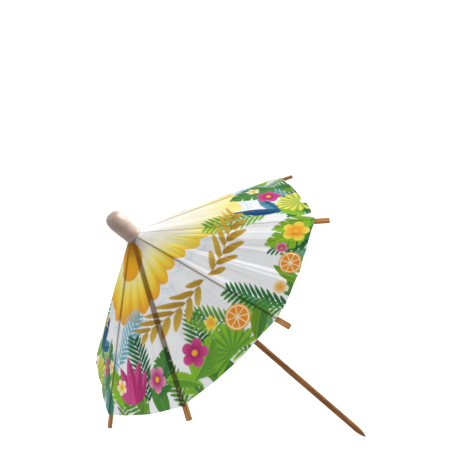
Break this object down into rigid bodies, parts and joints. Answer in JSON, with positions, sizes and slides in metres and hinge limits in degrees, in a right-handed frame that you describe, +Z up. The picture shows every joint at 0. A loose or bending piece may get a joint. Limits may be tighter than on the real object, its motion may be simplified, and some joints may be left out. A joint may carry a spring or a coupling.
{
  "type": "cocktail umbrella pick",
  "caption": "Open paper cocktail parasol on a sharpened wooden pick, with folding ribs and struts, a sliding runner, a retaining ring and a leafy printed canopy.",
  "frame": {"origin": "on the pick's axis, where the sharpened point meets the round shaft that is pushed in", "axes": "+Z up the pick towards the cap, +X along one open rib"},
  "size_m": [0.078, 0.078, 0.1002],
  "materials": {
    "canopy_paper": "matte",
    "plain_paper": "matte",
    "pick_wood": "matte",
    "rib_wood": "matte",
    "turned_wood": "matte",
    "cap_finish": "satin",
    "wire": "satin",
    "clear_ring": "gloss"
  },
  "bodies": {
    "stem": {"pick": "pick_wood", "cap": "cap_finish", "crown": "turned_wood", "crown_wire": "wire", "canopy_collar": "canopy_paper"},
    "runner_body": {"runner": "turned_wood", "runner_wire": "wire", "paper_sleeve": "plain_paper"},
    "ring_body": {"retaining_ring": "clear_ring"},
    "rib_body_1": {"rib_1": "rib_wood", "strut_pin_1": "wire"},
    "strut_body_1": {"strut_1": "rib_wood"},
    "gore_body_left_1": {"gore_left_1": "canopy_paper", "crease_1": "canopy_paper"},
    "gore_body_right_1": {"gore_right_1": "canopy_paper"},
    "rib_body_2": {"rib_2": "rib_wood", "strut_pin_2": "wire"},
    "strut_body_2": {"strut_2": "rib_wood"},
    "gore_body_left_2": {"gore_left_2": "canopy_paper", "crease_2": "canopy_paper"},
    "gore_body_right_2": {"gore_right_2": "canopy_paper"},
    "rib_body_3": {"rib_3": "rib_wood", "strut_pin_3": "wire"},
    "strut_body_3": {"strut_3": "rib_wood"},
    "gore_body_left_3": {"gore_left_3": "canopy_paper", "crease_3": "canopy_paper"},
    "gore_body_right_3": {"gore_right_3": "canopy_paper"},
    "rib_body_4": {"rib_4": "rib_wood", "strut_pin_4": "wire"},
    "strut_body_4": {"strut_4": "rib_wood"},
    "gore_body_left_4": {"gore_left_4": "canopy_paper", "crease_4": "canopy_paper"},
    "gore_body_right_4": {"gore_right_4": "canopy_paper"},
    "rib_body_5": {"rib_5": "rib_wood", "strut_pin_5": "wire"},
    "strut_body_5": {"strut_5": "rib_wood"},
    "gore_body_left_5": {"gore_left_5": "canopy_paper", "crease_5": "canopy_paper"},
    "gore_body_right_5": {"gore_right_5": "canopy_paper"},
    "rib_body_6": {"rib_6": "rib_wood", "strut_pin_6": "wire"},
    "strut_body_6": {"strut_6": "rib_wood"},
    "gore_body_left_6": {"gore_left_6": "canopy_paper", "crease_6": "canopy_paper"},
    "gore_body_right_6": {"gore_right_6": "canopy_paper"},
    "rib_body_7": {"rib_7": "rib_wood", "strut_pin_7": "wire"},
    "strut_body_7": {"strut_7": "rib_wood"},
    "gore_body_left_7": {"gore_left_7": "canopy_paper", "crease_7": "canopy_paper"},
    "gore_body_right_7": {"gore_right_7": "canopy_paper"},
    "rib_body_8": {"rib_8": "rib_wood", "strut_pin_8": "wire"},
    "strut_body_8": {"strut_8": "rib_wood"},
    "gore_body_left_8": {"gore_left_8": "canopy_paper", "crease_8": "canopy_paper"},
    "gore_body_right_8": {"gore_right_8": "canopy_paper"}
  },
  "joints": [
    {"name": "fold", "type": "hinge", "parent": "stem", "child": "rib_body_1", "pos_m": [0.0023, 0, 0.087], "axis": [0, 1, 0], "range_deg": [0, 49]},
    {"name": "strut_1_hinge", "type": "hinge", "parent": "rib_body_1", "child": "strut_body_1", "pos_m": [0.01656, 0, 0.07774], "axis": [0, 1, 0], "range_deg": [-98, 0]},
    {"name": "paper_left_1", "type": "hinge", "parent": "rib_body_1", "child": "gore_body_left_1", "pos_m": [0, 0, 0.08928], "axis": [0.8387, 0, -0.5446], "range_deg": [0, 67.32], "deforming": ["crease_1"]},
    {"name": "paper_right_1", "type": "hinge", "parent": "rib_body_1", "child": "gore_body_right_1", "pos_m": [0, 0, 0.08928], "axis": [0.8387, 0, -0.5446], "range_deg": [-67.32, 0]},
    {"name": "rib_2_hinge", "type": "hinge", "parent": "stem", "child": "rib_body_2", "pos_m": [0.00163, 0.00163, 0.087], "axis": [-0.7071, 0.7071, 0], "range_deg": [0, 49]},
    {"name": "strut_2_hinge", "type": "hinge", "parent": "rib_body_2", "child": "strut_body_2", "pos_m": [0.01171, 0.01171, 0.07774], "axis": [-0.7071, 0.7071, 0], "range_deg": [-98, 0]},
    {"name": "paper_left_2", "type": "hinge", "parent": "rib_body_2", "child": "gore_body_left_2", "pos_m": [0, 0, 0.08928], "axis": [0.593, 0.593, -0.5446], "range_deg": [0, 67.32], "deforming": ["crease_2"]},
    {"name": "paper_right_2", "type": "hinge", "parent": "rib_body_2", "child": "gore_body_right_2", "pos_m": [0, 0, 0.08928], "axis": [0.593, 0.593, -0.5446], "range_deg": [-67.32, 0]},
    {"name": "rib_3_hinge", "type": "hinge", "parent": "stem", "child": "rib_body_3", "pos_m": [0, 0.0023, 0.087], "axis": [-1, 0, 0], "range_deg": [0, 49]},
    {"name": "strut_3_hinge", "type": "hinge", "parent": "rib_body_3", "child": "strut_body_3", "pos_m": [0, 0.01656, 0.07774], "axis": [-1, 0, 0], "range_deg": [-98, 0]},
    {"name": "paper_left_3", "type": "hinge", "parent": "rib_body_3", "child": "gore_body_left_3", "pos_m": [0, 0, 0.08928], "axis": [0, 0.8387, -0.5446], "range_deg": [0, 67.32], "deforming": ["crease_3"]},
    {"name": "paper_right_3", "type": "hinge", "parent": "rib_body_3", "child": "gore_body_right_3", "pos_m": [0, 0, 0.08928], "axis": [0, 0.8387, -0.5446], "range_deg": [-67.32, 0]},
    {"name": "rib_4_hinge", "type": "hinge", "parent": "stem", "child": "rib_body_4", "pos_m": [-0.00163, 0.00163, 0.087], "axis": [-0.7071, -0.7071, 0], "range_deg": [0, 49]},
    {"name": "strut_4_hinge", "type": "hinge", "parent": "rib_body_4", "child": "strut_body_4", "pos_m": [-0.01171, 0.01171, 0.07774], "axis": [-0.7071, -0.7071, 0], "range_deg": [-98, 0]},
    {"name": "paper_left_4", "type": "hinge", "parent": "rib_body_4", "child": "gore_body_left_4", "pos_m": [0, 0, 0.08928], "axis": [-0.593, 0.593, -0.5446], "range_deg": [0, 67.32], "deforming": ["crease_4"]},
    {"name": "paper_right_4", "type": "hinge", "parent": "rib_body_4", "child": "gore_body_right_4", "pos_m": [0, 0, 0.08928], "axis": [-0.593, 0.593, -0.5446], "range_deg": [-67.32, 0]},
    {"name": "rib_5_hinge", "type": "hinge", "parent": "stem", "child": "rib_body_5", "pos_m": [-0.0023, 0, 0.087], "axis": [0, -1, 0], "range_deg": [0, 49]},
    {"name": "strut_5_hinge", "type": "hinge", "parent": "rib_body_5", "child": "strut_body_5", "pos_m": [-0.01656, 0, 0.07774], "axis": [0, -1, 0], "range_deg": [-98, 0]},
    {"name": "paper_left_5", "type": "hinge", "parent": "rib_body_5", "child": "gore_body_left_5", "pos_m": [0, 0, 0.08928], "axis": [-0.8387, 0, -0.5446], "range_deg": [0, 67.32], "deforming": ["crease_5"]},
    {"name": "paper_right_5", "type": "hinge", "parent": "rib_body_5", "child": "gore_body_right_5", "pos_m": [0, 0, 0.08928], "axis": [-0.8387, 0, -0.5446], "range_deg": [-67.32, 0]},
    {"name": "rib_6_hinge", "type": "hinge", "parent": "stem", "child": "rib_body_6", "pos_m": [-0.00163, -0.00163, 0.087], "axis": [0.7071, -0.7071, 0], "range_deg": [0, 49]},
    {"name": "strut_6_hinge", "type": "hinge", "parent": "rib_body_6", "child": "strut_body_6", "pos_m": [-0.01171, -0.01171, 0.07774], "axis": [0.7071, -0.7071, 0], "range_deg": [-98, 0]},
    {"name": "paper_left_6", "type": "hinge", "parent": "rib_body_6", "child": "gore_body_left_6", "pos_m": [0, 0, 0.08928], "axis": [-0.593, -0.593, -0.5446], "range_deg": [0, 67.32], "deforming": ["crease_6"]},
    {"name": "paper_right_6", "type": "hinge", "parent": "rib_body_6", "child": "gore_body_right_6", "pos_m": [0, 0, 0.08928], "axis": [-0.593, -0.593, -0.5446], "range_deg": [-67.32, 0]},
    {"name": "rib_7_hinge", "type": "hinge", "parent": "stem", "child": "rib_body_7", "pos_m": [0, -0.0023, 0.087], "axis": [1, 0, 0], "range_deg": [0, 49]},
    {"name": "strut_7_hinge", "type": "hinge", "parent": "rib_body_7", "child": "strut_body_7", "pos_m": [0, -0.01656, 0.07774], "axis": [1, 0, 0], "range_deg": [-98, 0]},
    {"name": "paper_left_7", "type": "hinge", "parent": "rib_body_7", "child": "gore_body_left_7", "pos_m": [0, 0, 0.08928], "axis": [0, -0.8387, -0.5446], "range_deg": [0, 67.32], "deforming": ["crease_7"]},
    {"name": "paper_right_7", "type": "hinge", "parent": "rib_body_7", "child": "gore_body_right_7", "pos_m": [0, 0, 0.08928], "axis": [0, -0.8387, -0.5446], "range_deg": [-67.32, 0]},
    {"name": "rib_8_hinge", "type": "hinge", "parent": "stem", "child": "rib_body_8", "pos_m": [0.00163, -0.00163, 0.087], "axis": [0.7071, 0.7071, 0], "range_deg": [0, 49]},
    {"name": "strut_8_hinge", "type": "hinge", "parent": "rib_body_8", "child": "strut_body_8", "pos_m": [0.01171, -0.01171, 0.07774], "axis": [0.7071, 0.7071, 0], "range_deg": [-98, 0]},
    {"name": "paper_left_8", "type": "hinge", "parent": "rib_body_8", "child": "gore_body_left_8", "pos_m": [0, 0, 0.08928], "axis": [0.593, -0.593, -0.5446], "range_deg": [0, 67.32], "deforming": ["crease_8"]},
    {"name": "paper_right_8", "type": "hinge", "parent": "rib_body_8", "child": "gore_body_right_8", "pos_m": [0, 0, 0.08928], "axis": [0.593, -0.593, -0.5446], "range_deg": [-67.32, 0]},
    {"name": "runner_link", "type": "hinge", "parent": "strut_body_1", "child": "runner_body", "pos_m": [0.0023, 0, 0.06848], "axis": [0, 1, 0], "range_deg": [0, 49]},
    {"name": "ring_slide", "type": "slide", "parent": "stem", "child": "ring_body", "axis": [0, 0, -1], "range_m": [0, 0.02464]}
  ],
  "couplings": [
    {"joint": "strut_1_hinge", "follows": "fold", "ratio": -2},
    {"joint": "paper_left_1", "follows": "fold", "ratio": 1.3739},
    {"joint": "paper_right_1", "follows": "fold", "ratio": -1.3739},
    {"joint": "rib_2_hinge", "follows": "fold", "ratio": 1},
    {"joint": "strut_2_hinge", "follows": "fold", "ratio": -2},
    {"joint": "paper_left_2", "follows": "fold", "ratio": 1.3739},
    {"joint": "paper_right_2", "follows": "fold", "ratio": -1.3739},
    {"joint": "rib_3_hinge", "follows": "fold", "ratio": 1},
    {"joint": "strut_3_hinge", "follows": "fold", "ratio": -2},
    {"joint": "paper_left_3", "follows": "fold", "ratio": 1.3739},
    {"joint": "paper_right_3", "follows": "fold", "ratio": -1.3739},
    {"joint": "rib_4_hinge", "follows": "fold", "ratio": 1},
    {"joint": "strut_4_hinge", "follows": "fold", "ratio": -2},
    {"joint": "paper_left_4", "follows": "fold", "ratio": 1.3739},
    {"joint": "paper_right_4", "follows": "fold", "ratio": -1.3739},
    {"joint": "rib_5_hinge", "follows": "fold", "ratio": 1},
    {"joint": "strut_5_hinge", "follows": "fold", "ratio": -2},
    {"joint": "paper_left_5", "follows": "fold", "ratio": 1.3739},
    {"joint": "paper_right_5", "follows": "fold", "ratio": -1.3739},
    {"joint": "rib_6_hinge", "follows": "fold", "ratio": 1},
    {"joint": "strut_6_hinge", "follows": "fold", "ratio": -2},
    {"joint": "paper_left_6", "follows": "fold", "ratio": 1.3739},
    {"joint": "paper_right_6", "follows": "fold", "ratio": -1.3739},
    {"joint": "rib_7_hinge", "follows": "fold", "ratio": 1},
    {"joint": "strut_7_hinge", "follows": "fold", "ratio": -2},
    {"joint": "paper_left_7", "follows": "fold", "ratio": 1.3739},
    {"joint": "paper_right_7", "follows": "fold", "ratio": -1.3739},
    {"joint": "rib_8_hinge", "follows": "fold", "ratio": 1},
    {"joint": "strut_8_hinge", "follows": "fold", "ratio": -2},
    {"joint": "paper_left_8", "follows": "fold", "ratio": 1.3739},
    {"joint": "paper_right_8", "follows": "fold", "ratio": -1.3739},
    {"joint": "runner_link", "follows": "fold", "ratio": 1},
    {"joint": "ring_slide", "follows": "fold", "m_per_rad": 0.0288}
  ]
}
